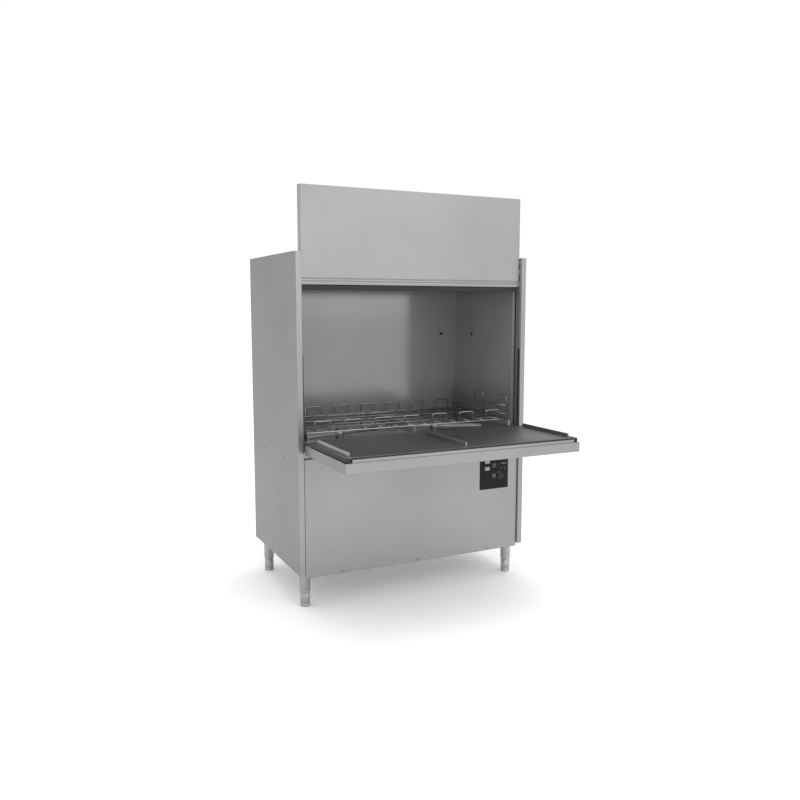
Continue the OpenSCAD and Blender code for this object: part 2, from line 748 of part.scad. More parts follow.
// ---------- lower door ----------
module lower_door_skin() {
    t = lower_sheet;
    color("gainsboro") {
        slab([-lower_x, lower_x], [lower_front, -1], [lower_bottom, lower_bottom + t]);
        slab([-lower_x, lower_x], [lower_front, lower_front + t], [lower_bottom, lower_top]);
        pair() slab([lower_x - t, lower_x], [lower_front, block_front], [lower_bottom, lower_top]);
    }
}
module lower_door_pan() {
    t = lower_sheet;
    corner_y = pan_front + corner_block;
    corner_x = pan_x + gasket_t - corner_block;
    color("dimgray") difference() {
        union() {
            slab([-lower_x, lower_x], [lower_front, pan_rear], [lower_top, lower_top + t]);
            slab([-corner_x, corner_x], [pan_front, pan_rear], [lower_top, pan_top]);
            slab([-pan_x, pan_x], [corner_y, pan_rear], [lower_top, pan_top]);
        }
        slab([-corner_x + t, corner_x - t], [pan_front + t, pan_rear - t], [lower_top + t, pan_top - t]);
        slab([-pan_x + t, pan_x - t], [corner_y + t, pan_rear - t], [lower_top + t, pan_top - t]);
        pair() slab([lug_x - lug_t / 2 - 4, lug_x + lug_t / 2 + 3], [-hinge_y - lug_r - 6, pan_rear + 1],
            [lower_top - 1, pan_top + 1]);
    }
}
module lower_door_gasket() {
    x = pan_x + gasket_t;
    z = lower_top + lower_sheet;
    color("black") pair() {
        slab([x - corner_block, x], [pan_front, pan_front + corner_block], [z, pan_top]);
        slab([pan_x, x], [pan_front + corner_block, block_front], [z, pan_top - 1]);
    }
}
module hinge_blocks() {
    x0 = lug_x + lug_t / 2 + 2.5;
    x1 = lug_x - lug_t / 2 - 2.5;
    z0 = lower_bottom + lower_sheet;
    color("black") pair() {
        difference() {
            slab([x0, lower_x], [block_front, block_rear], [z0, lower_top]);
            rod_x([x0 - 1, lower_x - 4], -hinge_y, hinge_z, hinge_pin_d);
        }
        difference() {
            slab([x1 - 12, x1], [-hinge_y - 20, -hinge_y + 20], [z0, hinge_z + 20]);
            rod_x([x1 - 13, x1 + 1], -hinge_y, hinge_z, hinge_pin_d);
        }
    }
}
module hinge_pins() {
    color("silver") pair() rod_x([lug_x - lug_t / 2 - 14.5, lower_x - 4], -hinge_y, hinge_z, hinge_pin_d);
}
module door_runners() {
    color("silver") for (x = [-rail_x, 0, rail_x])
        slab([x - runner_w / 2, x + runner_w / 2], [pan_front + corner_block + 12, -90],
            [pan_top, rack_z - rest_gap]);
}

// ---------- rack ----------
module rack_base() {
    r = rim_wire / 2;
    x = rail_x;
    y0 = rack_front + r;
    y1 = rack_rear - r;
    z = rack_z + r;
    grid_z = rack_z + rim_wire + grid_wire / 2 + weld_gap;
    color("silver") {
        union() {
            for (y = [y0, y1]) rod_x([-x, x], y, z, rim_wire);
            for (s = [-1, 1]) {
                rod_y(s * x, [y0, y1], z, rim_wire);
                for (y = [y0, y1]) translate([s * x, y, z]) sphere(d = rim_wire);
            }
            rod_y(0, [y0, y1], z, rim_wire);
        }
        for (i = [-6:6]) rod_y(i * (x - 20) / 6.5, [rack_front, rack_rear], grid_z, grid_wire);
        for (i = [1:5])
            rod_x([-x - 2, x + 2], y0 + (y1 - y0) * i / 6, grid_z + grid_wire + weld_gap, grid_wire);
    }
}
module loop_x(x, y, z, w, h, d) {
    rod_z(x - w / 2, y, [z, z + h], d);
    rod_z(x + w / 2, y, [z, z + h], d);
    rod_x([x - w / 2, x + w / 2], y, z + h, d);
    for (s = [-1, 1]) translate([x + s * w / 2, y, z + h]) sphere(d = d);
}
module rack_loops() {
    d = rim_wire - 1;
    x = rail_x;
    y = [rack_front + rim_wire / 2, rack_rear - rim_wire / 2];
    z = rack_z + rim_wire + weld_gap;
    tall = rack_h - rim_wire - d / 2;
    low = loop_low_h - rim_wire - d / 2;
    tall_w = 92;
    end_pitch = 0.283 * x;
    color("silver") {
        for (s = [-1, 1]) union() {
            for (c = [y[0] + tall_w / 2, (y[0] + y[1]) / 2, y[1] - tall_w / 2])
                translate([s * x, c, 0]) rotate([0, 0, 90]) loop_x(0, 0, z, tall_w, tall, d);
            for (h = [0.2, 0.56])
                rod_y(s * (x - d / 2 - grid_wire / 2 + 0.3), y, z + tall * h, grid_wire);
        }
        for (e = [0, 1], i = [-3:3]) loop_x(i * end_pitch, y[e], z, 88, low, d);
    }
}

place() base_frame();
place() base_tray();
place() left_side_panel();
place() right_side_panel();
place() rear_panel();
place() roof_panel();
place() front_columns();
place() door_seals();
place() door_guides();
place() front_frame();
place() sill();
place() hinge_lugs();
place() chamber_left_wall();
place() chamber_right_wall();
place() chamber_back_wall();
place() chamber_ceiling();
place() rack_rails();
place() wash_tank();
place() tank_strainers();
place() front_panel();
place() control_fascia();
place() display_windows();
place() electrical_box();
place() pump_casing();
place() pump_motor();
place() wash_pipework();
place() riser_pipe();
place() arm_posts();
place() boiler();
place() inlet_valve();
place() dosing_pumps();
place() drain_pump();
place() feet_tubes();
place() feet_adjusters();
place() cable_gland();
place() pulley_axles();
place() counterweight_cables();
place() program_key();
place() power_key();
place() start_button();
place() pump_impeller();
place() lower_left_arm();
place() lower_right_arm();
place() upper_left_arm();
place() upper_right_arm();
place() counterweights();
place() pulleys();
place() upper_door_skin();
place() upper_door_liner();
place() upper_door_lip();
place() upper_door_seal();
place() guide_shoes();
place() lower_door_skin();
place() lower_door_pan();
place() lower_door_gasket();
place() hinge_blocks();
place() hinge_pins();
place() door_runners();
place() rack_base();
place() rack_loops();
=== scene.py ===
"""Finished looks of a commercial utensil washer, built around its packed construction."""

import json
import math

import bmesh
import bpy
from bpy.props import FloatProperty, FloatVectorProperty, IntProperty, PointerProperty
from mathutils import Matrix, Vector


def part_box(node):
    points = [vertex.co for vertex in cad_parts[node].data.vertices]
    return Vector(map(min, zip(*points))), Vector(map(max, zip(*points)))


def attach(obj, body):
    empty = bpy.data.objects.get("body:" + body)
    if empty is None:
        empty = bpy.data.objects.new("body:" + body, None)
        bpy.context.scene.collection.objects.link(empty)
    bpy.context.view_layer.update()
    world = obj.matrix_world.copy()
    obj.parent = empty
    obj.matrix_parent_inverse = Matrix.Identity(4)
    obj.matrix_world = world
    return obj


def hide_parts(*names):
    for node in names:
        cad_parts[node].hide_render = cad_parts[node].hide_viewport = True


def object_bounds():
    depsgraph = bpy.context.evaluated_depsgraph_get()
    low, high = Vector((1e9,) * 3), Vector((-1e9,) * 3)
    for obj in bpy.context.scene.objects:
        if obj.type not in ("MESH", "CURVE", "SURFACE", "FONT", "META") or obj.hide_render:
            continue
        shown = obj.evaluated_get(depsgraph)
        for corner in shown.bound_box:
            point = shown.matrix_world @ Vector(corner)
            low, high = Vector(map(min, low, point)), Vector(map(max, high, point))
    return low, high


bl_info = {
    "name": "Utensil Washer",
    "version": (1, 0, 0),
    "blender": (4, 5, 0),
    "location": "View3D > Sidebar > Washer",
    "description": "Builds the finished pieces of a commercial utensil washer",
    "category": "Add Mesh",
}

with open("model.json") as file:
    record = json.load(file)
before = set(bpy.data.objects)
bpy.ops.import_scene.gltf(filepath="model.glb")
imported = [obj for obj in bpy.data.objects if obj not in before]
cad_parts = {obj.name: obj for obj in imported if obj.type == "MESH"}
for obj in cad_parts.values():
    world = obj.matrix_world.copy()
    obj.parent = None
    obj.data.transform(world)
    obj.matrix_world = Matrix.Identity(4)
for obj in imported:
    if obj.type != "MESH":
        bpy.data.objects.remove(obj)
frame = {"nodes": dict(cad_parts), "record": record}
CAD_LOW, CAD_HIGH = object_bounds()

MM = 0.001
AXES = {"X": Vector((1, 0, 0)), "Y": Vector((0, 1, 0)), "Z": Vector((0, 0, 1))}
SIDES = (("left", -1), ("right", 1))
SEAM = 0.001 * MM  # points closer than this become one
ALIGNED = 0.9  # cosine from which a face or an edge follows an axis
# painted light and shade: a face turned this far sideways takes the sides' own finish
SIDEWAYS = 0.7  # cosine from which a face takes the finish of the sides
EDGE = 0.4 * MM  # rounding of cut edges
SHARP = math.radians(50)  # an edge sharper than this is rounded
ROUND_STEPS = 48  # steps of a large turned piece
SMALL_STEPS = 20  # steps of a screw head or a stem


# -------- settings
class WASHER_PG_sheet(bpy.types.PropertyGroup):
    """Sizes of the folded sheet steel."""

    thickness: FloatProperty(
        name="Sheet thickness", description="Thickness of the folded panels",
        default=1.5 * MM, unit="LENGTH",
    )
    door_skin: FloatProperty(
        name="Door skin", description="Thickness of the upper door's outer sheet",
        default=1.2 * MM, unit="LENGTH",
    )
    fold: FloatProperty(
        name="Fold radius", description="Outer radius of the folds", default=3 * MM, unit="LENGTH"
    )
    edge: FloatProperty(
        name="Edge rounding", description="Rounding of the cut and machined edges",
        default=EDGE, unit="LENGTH",
    )


class WASHER_PG_finish(bpy.types.PropertyGroup):
    """Colours and roughness of the finishes."""

    panel: FloatVectorProperty(
        name="Panel steel", description="Colour of the satin outer panels",
        default=(0.32, 0.32, 0.331), size=3, subtype="COLOR",
    )
    trim: FloatVectorProperty(
        name="Trim steel", description="Colour of the columns, lips and rails",
        default=(0.315, 0.315, 0.325), size=3, subtype="COLOR",
    )
    chamber: FloatVectorProperty(
        name="Chamber steel", description="Colour of the polished chamber walls",
        default=(0.34, 0.34, 0.347), size=3, subtype="COLOR",
    )
    wire: FloatVectorProperty(
        name="Wire steel", description="Colour of the rack's wires",
        default=(0.44, 0.44, 0.451), size=3, subtype="COLOR",
    )
    plastic: FloatVectorProperty(
        name="Black plastic", description="Colour of the control fascia",
        default=(0.012, 0.012, 0.013), size=3, subtype="COLOR",
    )
    satin: FloatProperty(
        name="Satin roughness", description="Roughness of the brushed outer panels",
        default=0.42, min=0, max=1, subtype="FACTOR",
    )


class WASHER_PG_rack(bpy.types.PropertyGroup):
    """Sizes of the wire rack."""

    rim: FloatProperty(
        name="Rim wire", description="Diameter of the rim wire", default=6 * MM, unit="LENGTH"
    )
    loop: FloatProperty(
        name="Loop wire", description="Diameter of the side loops", default=5 * MM, unit="LENGTH"
    )
    grid: FloatProperty(
        name="Grid wire", description="Diameter of the base wires", default=4 * MM, unit="LENGTH"
    )
    bars: IntProperty(
        name="Base bars", description="Number of bars from front to back", default=13, min=3
    )


class WASHER_PG_stage(bpy.types.PropertyGroup):
    """Floor, lights and camera."""

    floor: FloatVectorProperty(
        name="Floor", description="Colour of the studio floor",
        default=(0.98, 0.98, 0.98), size=3, subtype="COLOR",
    )
    floor_size: FloatProperty(
        name="Floor size", description="Side of the studio floor", default=60.0, unit="LENGTH"
    )
    glow: FloatProperty(
        name="Floor glow", description="Light of the floor itself, which softens the shadow",
        default=0.1, min=0,
    )
    sky: FloatProperty(
        name="Surround strength", description="Strength of the white surround", default=1.03, min=0
    )
    key: FloatProperty(
        name="Key light", description="Power of the large front light",
        default=55.0, min=0, unit="POWER",
    )
    top_share: FloatProperty(
        name="Top light share", description="Power of the top light, as a share of the key light's",
        default=1.8, min=0,
    )
    lens: FloatProperty(
        name="Lens", description="Focal length of the camera in millimetres",
        default=35.487, min=1,
    )
    camera_place: FloatVectorProperty(
        name="Camera place", description="Where the camera stands",
        default=(-1.934, -3.8315, 1.547), size=3, subtype="TRANSLATION", unit="LENGTH",
    )
    camera_turn: FloatVectorProperty(
        name="Camera turn", description="How the camera is tilted and turned",
        default=(math.radians(83.26), 0, math.radians(-26.3)), size=3, subtype="EULER",
    )


# -------- finishes
EVEN = (1, 1, 1)
ALONG_X = (3, 900, 900)
ALONG_Y = (900, 3, 900)
ALONG_Z = (900, 900, 3)
NOISE_LOW, NOISE_HIGH = 0.3, 0.7  # nearly all of a noise lies between these
MIX_DARK, MIX_LIGHT, MIX_COLOUR = 6, 7, 2  # the colour sockets of a mix
# painted shade: the side panels' steel is made darker than the front's, for the lesser light that
# the sides take
SIDE_PAINTED_SHADE = 0.76  # colour of the side panels as a share of the front panel's


def noise(tree, scale, detail, stretch=EVEN):
    """A noise over the piece, whose grain can be stretched along the axes."""
    source = tree.nodes.new("ShaderNodeTexCoord")
    place = tree.nodes.new("ShaderNodeMapping")
    place.inputs["Scale"].default_value = stretch
    tree.links.new(source.outputs["Object"], place.inputs["Vector"])
    made = tree.nodes.new("ShaderNodeTexNoise")
    made.inputs["Scale"].default_value = scale
    made.inputs["Detail"].default_value = detail
    tree.links.new(place.outputs["Vector"], made.inputs["Vector"])
    return made.outputs["Fac"]


def ranged(tree, value, low, high):
    """A noise carried to a new range."""
    made = tree.nodes.new("ShaderNodeMapRange")
    made.inputs["From Min"].default_value = NOISE_LOW
    made.inputs["From Max"].default_value = NOISE_HIGH
    made.inputs["To Min"].default_value = low
    made.inputs["To Max"].default_value = high
    tree.links.new(value, made.inputs["Value"])
    return made.outputs["Result"]


def two_tone(tree, value, colour, spread):
    """A colour that goes from a darker to a lighter tone with a noise."""
    made = tree.nodes.new("ShaderNodeMix")
    made.data_type = "RGBA"
    made.inputs[MIX_DARK].default_value = (*[c * (1 - spread) for c in colour], 1)
    made.inputs[MIX_LIGHT].default_value = (*[min(1, c * (1 + spread)) for c in colour], 1)
    tree.links.new(ranged(tree, value, 0, 1), made.inputs["Factor"])
    return made.outputs[MIX_COLOUR]


def bumped(tree, value, strength, distance, under=None):
    """A bump from a noise, over another bump where one is given."""
    made = tree.nodes.new("ShaderNodeBump")
    made.inputs["Strength"].default_value = strength
    made.inputs["Distance"].default_value = distance
    tree.links.new(value, made.inputs["Height"])
    if under is not None:
        tree.links.new(under, made.inputs["Normal"])
    return made.outputs["Normal"]


def blank(name, metallic):
    """A new material, its tree and its main shader."""
    made = bpy.data.materials.new(name)
    made.use_nodes = True
    shader = made.node_tree.nodes["Principled BSDF"]
    shader.inputs["Metallic"].default_value = metallic
    return made, made.node_tree, shader


def feed(tree, shader, **values):
    """Links values to the shader's sockets, such as base_color to Base Color."""
    for socket, value in values.items():
        tree.links.new(value, shader.inputs[socket.replace("_", " ").title()])


def brushed(name, colour, roughness, grain, fine=0.05, spread=0.05, dent=0.02, metallic=1.0):
    """Brushed steel: long fine scratches along the grain, and slow tone changes over the sheet."""
    made, tree, shader = blank(name, metallic)
    scratches = noise(tree, scale=1.0, detail=4.0, stretch=grain)
    patches = noise(tree, scale=2.2, detail=2.0)
    smudges = noise(tree, scale=9.0, detail=3.0)
    waves = bumped(tree, smudges, dent, distance=2 * MM)
    feed(
        tree, shader,
        base_color=two_tone(tree, patches, colour, spread),
        roughness=ranged(tree, scratches, roughness - fine, roughness + fine),
        normal=bumped(tree, scratches, strength=0.06, distance=0.05 * MM, under=waves),
    )
    return made


def moulded(name, colour, roughness, grain_size, spread=0.12, bump=0.15, shine=0.5):
    """Moulded plastic or rubber: a fine grain and a faint tone change."""
    made, tree, shader = blank(name, metallic=0.0)
    shader.inputs["Specular IOR Level"].default_value = shine
    uneven = 0.07
    grain = noise(tree, grain_size, detail=2.0)
    patches = noise(tree, scale=14.0, detail=2.0)
    feed(
        tree, shader,
        base_color=two_tone(tree, patches, colour, spread),
        roughness=ranged(tree, grain, roughness - uneven, roughness + uneven),
        normal=bumped(tree, grain, bump, distance=0.1 * MM),
    )
    return made


def cast(name, colour):
    """Rough cast iron with a skin of dull paint."""
    made, tree, shader = blank(name, metallic=0.4)
    coarse = noise(tree, scale=260.0, detail=6.0)
    patches = noise(tree, scale=18.0, detail=3.0)
    feed(
        tree, shader,
        base_color=two_tone(tree, patches, colour, spread=0.3),
        roughness=ranged(tree, coarse, 0.6, 0.85),
        normal=bumped(tree, coarse, strength=0.5, distance=0.6 * MM),
    )
    return made


def display(name, colour):
    """A smooth, faintly lit display window."""
    made, tree, shader = blank(name, metallic=0.0)
    shader.inputs["Emission Strength"].default_value = 0.25
    clouds = noise(tree, scale=40.0, detail=1.0)
    tone = two_tone(tree, clouds, colour, spread=0.12)
    feed(
        tree, shader,
        base_color=tone, emission_color=tone, roughness=ranged(tree, clouds, 0.12, 0.2),
    )
    return made


FINISH = {}


def make_finishes(look):
    """Makes every finish once, under its short name."""
    # painted shade: the sides' finish is the panel steel darkened, as the sides take less light
    side = [c * SIDE_PAINTED_SHADE for c in look.panel]
    FINISH.update(
        panel=brushed("panel_steel", look.panel, look.satin, ALONG_X),
        side=brushed("side_steel_painted_shade", side, look.satin + 0.03, ALONG_Y),
        trim=brushed("trim_steel", look.trim, 0.34, ALONG_Z, spread=0.04),
        lip=brushed("lip_steel", look.trim, 0.36, ALONG_X, spread=0.04),
        chamber=brushed(
            "chamber_steel", look.chamber, 0.15, ALONG_Z,
            fine=0.02, spread=0.06, dent=0.008, metallic=0.38,
        ),
        # painted light: a paler, less metallic steel that lightens the shaded front frame, door
        # guides and column returns
        jamb=brushed("jamb_steel", (0.35, 0.35, 0.357), 0.4, ALONG_Z, metallic=0.3),
        frame=brushed("frame_steel", (0.4, 0.4, 0.412), 0.45, ALONG_X, spread=0.12),
        wire=brushed("wire_steel", look.wire, 0.2, (300, 300, 300), fine=0.06, dent=0.0),
        # painted reflection: the pan's steel is darkened for the dark surroundings it reflects
        # under the rack; the front panel's screws share it
        dark=brushed("pan_steel_painted_reflection", (0.14, 0.14, 0.144), 0.5, ALONG_X, spread=0.15),
        brass=brushed("fitting_brass", (0.62, 0.43, 0.2), 0.3, (200, 200, 200), spread=0.1),
        rubber=moulded("black_rubber", (0.012, 0.012, 0.012), 0.6, 700.0),
        plastic=moulded(
            "black_plastic", look.plastic, 0.5, 900.0, spread=0.2, bump=0.08, shine=0.15
        ),
        key=moulded("key_plastic", (0.062, 0.063, 0.065), 0.45, 900.0, shine=0.3),
        button=moulded("button_plastic", (0.02, 0.021, 0.022), 0.4, 900.0, shine=0.3),
        nylon=moulded("white_nylon", (0.72, 0.72, 0.7), 0.5, 500.0, spread=0.05),
        pump=moulded("pump_plastic", (0.05, 0.053, 0.056), 0.5, 400.0),
        motor=moulded("motor_paint", (0.045, 0.07, 0.1), 0.35, 300.0, spread=0.15, bump=0.3),
        iron=cast("weight_iron", (0.06, 0.06, 0.062)),
        window=display("display_window", (0.25, 0.262, 0.268)),
        mark=display("light_mark", (0.15, 0.156, 0.158)),
    )


# the finish that each slot takes
SLOT_FINISH = {
    "satin_panel": "panel", "bright_trim": "lip", "chamber_steel": "chamber",
    "frame_steel": "frame", "wire_steel": "wire", "dark_steel": "dark",
    "black_rubber": "rubber", "black_plastic": "plastic", "window_plastic": "window",
    "key_plastic": "key", "button_plastic": "button", "white_nylon": "nylon",
    "pump_plastic": "pump", "motor_paint": "motor", "weight_iron": "iron",
}
# the construction nodes whose finish isn't their slot's: painted light on the shaded jambs, painted
# shade on the side panels
NODE_FINISH = {
    "front_frame": "jamb", "door_guides": "jamb",
    "left_side_panel": "side", "right_side_panel": "side",
}


# -------- shaping
def signed(side):
    """The direction named by a sign and an axis, such as "-Y"."""
    return AXES[side[1]] * (1 if side[0] == "+" else -1)


def outward(sign):
    """The name of the direction out of the left (-1) or the right (1) side."""
    return "+X" if sign > 0 else "-X"


def span(sign, inner, outer):
    """The two ends, in order, of a stretch on the left (-1) or the right (1) side."""
    return sorted((sign * inner, sign * outer))


def middle(name):
    """The middle of a construction node's box."""
    low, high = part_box(name)
    return (low + high) / 2


def faces_of(verts):
    """The faces around some vertices."""
    return list(dict.fromkeys(f for v in verts for f in v.link_faces))


def edges_of(verts):
    """The edges around some vertices."""
    return list(dict.fromkeys(e for v in verts for e in v.link_edges))


def block(bm, low, high):
    """A box between two corners."""
    low, high = Vector(low), Vector(high)
    place = Matrix.Translation((low + high) / 2) @ Matrix.Diagonal((*(high - low), 1))
    return bmesh.ops.create_cube(bm, size=1, matrix=place)["verts"]


def bevel(bm, edges, width, segments=3):
    """Rounds some edges."""
    bmesh.ops.bevel(
        bm, geom=edges, offset=width, offset_type="OFFSET", affect="EDGES", segments=segments,
        profile=0.5, material=-1, clamp_overlap=True,
    )


def rounded_block(bm, low, high, radius, segments=3, along=None):
    """A box with its edges rounded, or only the edges that run along one axis."""
    edges = edges_of(block(bm, low, high))
    if along:
        runs = [(e, (e.verts[0].co - e.verts[1].co).normalized()) for e in edges]
        edges = [e for e, run in runs if abs(run.dot(AXES[along])) > ALIGNED]
    bevel(bm, edges, radius, segments)


def tray(bm, low, high, open_sides, radius):
    """A folded sheet: a box with some sides, such as "+Y", left open and its folds rounded.

    The piece's own wall gives it a thickness.
    """
    faces = faces_of(block(bm, low, high))
    gone = [f for f in faces if any(f.normal.dot(signed(s)) > ALIGNED for s in open_sides)]
    kept = [f for f in faces if f not in gone]
    bmesh.ops.delete(bm, geom=gone, context="FACES_ONLY")
    folds = list(dict.fromkeys(e for f in kept for e in f.edges if len(e.link_faces) == 2))
    loose = [e for e in bm.edges if not e.link_faces]
    bmesh.ops.delete(bm, geom=loose, context="EDGES")
    bevel(bm, folds, radius, segments=4)


def turned(bm, profile, at, axis="+Z", steps=ROUND_STEPS):
    """A turned solid: (radius, height) points spun about a signed axis through a point."""
    known = set(bm.verts)
    verts = [bm.verts.new((r, 0, h)) for r, h in profile]
    edges = [bm.edges.new(pair) for pair in zip(verts, verts[1:])]
    bmesh.ops.spin(
        bm, geom=verts + edges, cent=(0, 0, 0), axis=(0, 0, 1), angle=2 * math.pi, steps=steps,
        use_merge=True, use_duplicate=False,
    )
    made = [v for v in bm.verts if v not in known]
    turn = AXES["Z"].rotation_difference(signed(axis)).to_matrix().to_4x4()
    bmesh.ops.transform(bm, matrix=Matrix.Translation(at) @ turn, verts=made)
    faces = faces_of(made)
    bmesh.ops.remove_doubles(bm, verts=made, dist=SEAM)
    bmesh.ops.recalc_face_normals(bm, faces=[f for f in faces if f.is_valid])


def tube(inner, outer, start, end):
    """The closed profile of a plain tube."""
    return [(inner, start), (outer, start), (outer, end), (inner, end), (inner, start)]


def extruded(bm, outline, axis, start, end):
    """A bar of constant section along an axis, whose outline is given in the other two."""
    spot = "XYZ".index(axis)
    verts = [bm.verts.new((*point[:spot], start, *point[spot:])) for point in outline]
    face = bm.faces.new(verts)
    made = bmesh.ops.extrude_face_region(bm, geom=[face])["geom"]
    moved = [v for v in made if isinstance(v, bmesh.types.BMVert)]
    bmesh.ops.translate(bm, verts=moved, vec=AXES[axis] * (end - start))
    bmesh.ops.recalc_face_normals(bm, faces=faces_of(verts + moved))


def both_halves(half):
    """A closed outline from its right half, which starts at the front."""
    return half + [(-x, y) for x, y in reversed(half)]


def pan_head(bm, at, side, radius=4 * MM, height=2 * MM):
    """A low round screw head that stands out of a face and is let into it a little."""
    dome = [(0, 1), (0.55, 0.96), (0.85, 0.72), (1, 0.25)]
    profile = [(share * radius, rise * height) for share, rise in dome]
    turned(bm, profile + [(radius, -0.3 * MM)], at, side, SMALL_STEPS)


def piece(name, bm, finish, body, slot, *nodes, wall=0.0, edge=0.0):
    """Makes a bmesh a finished piece, which rides on a body and stands for construction nodes."""
    mesh = bpy.data.meshes.new(name)
    bm.to_mesh(mesh)
    bm.free()
    mesh.polygons.foreach_set("use_smooth", [True] * len(mesh.polygons))
    mesh.update()
    mesh.materials.append(FINISH[finish])
    made = bpy.data.objects.new(name, mesh)
    bpy.context.scene.collection.objects.link(made)
    if wall:
        solid = made.modifiers.new("wall", "SOLIDIFY")
        solid.thickness = wall
        solid.offset = -1
        solid.use_even_offset = True
    if edge:
        soft = made.modifiers.new("edges", "BEVEL")
        soft.width = edge
        soft.segments = 2
        soft.limit_method = "ANGLE"
        soft.angle_limit = SHARP
        soft.use_clamp_overlap = True
        made.modifiers.new("shading", "WEIGHTED_NORMAL").keep_sharp = True
    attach(made, body)
    if nodes:
        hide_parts(*nodes)
    return made


def paint_sides(made, finish):
    """Gives the faces of a piece that look left or right a finish of their own, which paints light
    on the columns' returns and shade on the lower door's sides.
    """
    made.data.materials.append(FINISH[finish])
    for face in made.data.polygons:
        if abs(face.normal.x) > SIDEWAYS:
            face.material_index = 1


def rounded_path(points, radius, closed=False, steps=6):
    """The points of a wire's centreline, with its corners turned on a radius."""
    points = [Vector(p) for p in points]
    path = []
    count = len(points)
    for i, corner in enumerate(points):
        if not closed and i in (0, count - 1):
            path.append(corner)
            continue
        before = (points[i - 1] - corner).normalized()
        after = (points[(i + 1) % count] - corner).normalized()
        half = before.angle(after) / 2
        reach = radius / math.tan(half)
        centre = corner + (before + after).normalized() * (radius / math.sin(half))
        start = (corner + before * reach - centre).normalized()
        end = (corner + after * reach - centre).normalized()
        path += [centre + start.slerp(end, k / steps) * radius for k in range(steps + 1)]
    return path


def wires(name, runs, finish, body, slot, *nodes):
    """A piece made of round wires: each run is (points, diameter, corner radius, closed)."""
    holders = []
    for index, (points, diameter, radius, closed) in enumerate(runs):
        curve = bpy.data.curves.new(f"{name}_run{index}", "CURVE")
        curve.dimensions = "3D"
        curve.bevel_depth = diameter / 2
        curve.bevel_resolution = 2
        curve.use_fill_caps = True
        path = rounded_path(points, radius, closed)
        line = curve.splines.new("POLY")
        line.points.add(len(path) - 1)
        for spot, point in zip(line.points, path):
            spot.co = (*point, 1)
        line.use_cyclic_u = closed
        holder = bpy.data.objects.new(curve.name, curve)
        bpy.context.scene.collection.objects.link(holder)
        holders.append(holder)
    bpy.context.view_layer.update()
    graph = bpy.context.evaluated_depsgraph_get()
    bm = bmesh.new()
    for holder in holders:
        mesh = bpy.data.meshes.new_from_object(holder.evaluated_get(graph))
        bm.from_mesh(mesh)
        bpy.data.meshes.remove(mesh)
    for holder in holders:
        curve = holder.data
        bpy.data.objects.remove(holder)
        bpy.data.curves.remove(curve)
    bmesh.ops.remove_doubles(bm, verts=bm.verts, dist=SEAM)
    bmesh.ops.recalc_face_normals(bm, faces=bm.faces)
    return piece(name, bm, finish, body, slot, *nodes)


# -------- operators
class WASHER_OT_finishes(bpy.types.Operator):
    """Make the finishes and give every construction node its own."""

    bl_idname = "washer.finishes"
    bl_label = "Finishes"

    def execute(self, context):
        make_finishes(context.scene.washer_finish)
        slots = {p["node"]: p["material_slot"] for p in frame["record"]["subparts"]}
        for name, obj in frame["nodes"].items():
            obj.data.materials.clear()
            obj.data.materials.append(FINISH[NODE_FINISH.get(name) or SLOT_FINISH[slots[name]]])
        return {"FINISHED"}


class WASHER_OT_side_panels(bpy.types.Operator):
    """Fold the two side panels, with their hole plugs."""

    bl_idname = "washer.side_panels"
    bl_label = "Side panels"

    plug_radius: FloatProperty(
        name="Plug radius", description="Radius of the hole plugs", default=6.5 * MM, unit="LENGTH"
    )

    def execute(self, context):
        sheet = context.scene.washer_sheet
        inset = 0.5 * MM  # leaves room for the plugs to stand out
        flange = 18 * MM
        plug_rise = 577 * MM
        for side, sign in SIDES:
            low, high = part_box(f"{side}_side_panel")
            outer = max(abs(low.x), abs(high.x)) - inset
            x0, x1 = span(sign, outer - flange, outer)
            bm = bmesh.new()
            tray(bm, (x0, low.y, low.z), (x1, high.y, high.z), [outward(-sign), "+Z"], sheet.fold)
            # the side finish carries painted shade
            piece(
                f"{side}_panel_sheet", bm, "side", "cabinet", "satin_panel", f"{side}_side_panel",
                wall=sheet.thickness, edge=sheet.edge,
            )
            bm = bmesh.new()
            for share in (0.29, 0.74):
                at = (sign * outer, low.y + share * (high.y - low.y), low.z + plug_rise)
                pan_head(bm, at, outward(sign), self.plug_radius, inset * 0.9)
            piece(f"{side}_panel_plugs", bm, "pump", "cabinet", "black_plastic")
        return {"FINISHED"}


class WASHER_OT_front(bpy.types.Operator):
    """Fold the front panel with its screws, and the two front columns."""

    bl_idname = "washer.front"
    bl_label = "Front panel and columns"

    def execute(self, context):
        sheet = context.scene.washer_sheet
        low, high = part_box("front_panel")
        flange = 20 * MM
        bm = bmesh.new()
        tray(bm, low, (high.x, low.y + flange, high.z), ["+Y"], sheet.fold)
        piece(
            "front_panel_sheet", bm, "panel", "cabinet", "satin_panel", "front_panel",
            wall=sheet.thickness, edge=sheet.edge,
        )
        screw_z = low.z + 12 * MM
        bm = bmesh.new()
        for share in (-0.69, 0, 0.69):
            pan_head(bm, (high.x * share, low.y, screw_z), "-Y", radius=4.5 * MM, height=2.2 * MM)
        piece("front_panel_screws", bm, "dark", "cabinet", "dark_steel")

        low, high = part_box("front_columns")
        width = high.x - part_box("front_frame")[1].x
        for side, sign in SIDES:
            x0, x1 = span(sign, high.x - width, high.x)
            bm = bmesh.new()
            tray(
                bm, (x0, low.y, low.z), (x1, high.y, high.z),
                ["+Y", "+Z", "-Z", outward(sign)], radius=2 * MM,
            )
            nodes = ["front_columns"] if side == "left" else []
            column = piece(
                f"{side}_column_sheet", bm, "trim", "cabinet", "bright_trim", *nodes,
                wall=sheet.thickness, edge=sheet.edge,
            )
            # painted light on the columns' shaded inner returns
            paint_sides(column, "jamb")
        return {"FINISHED"}


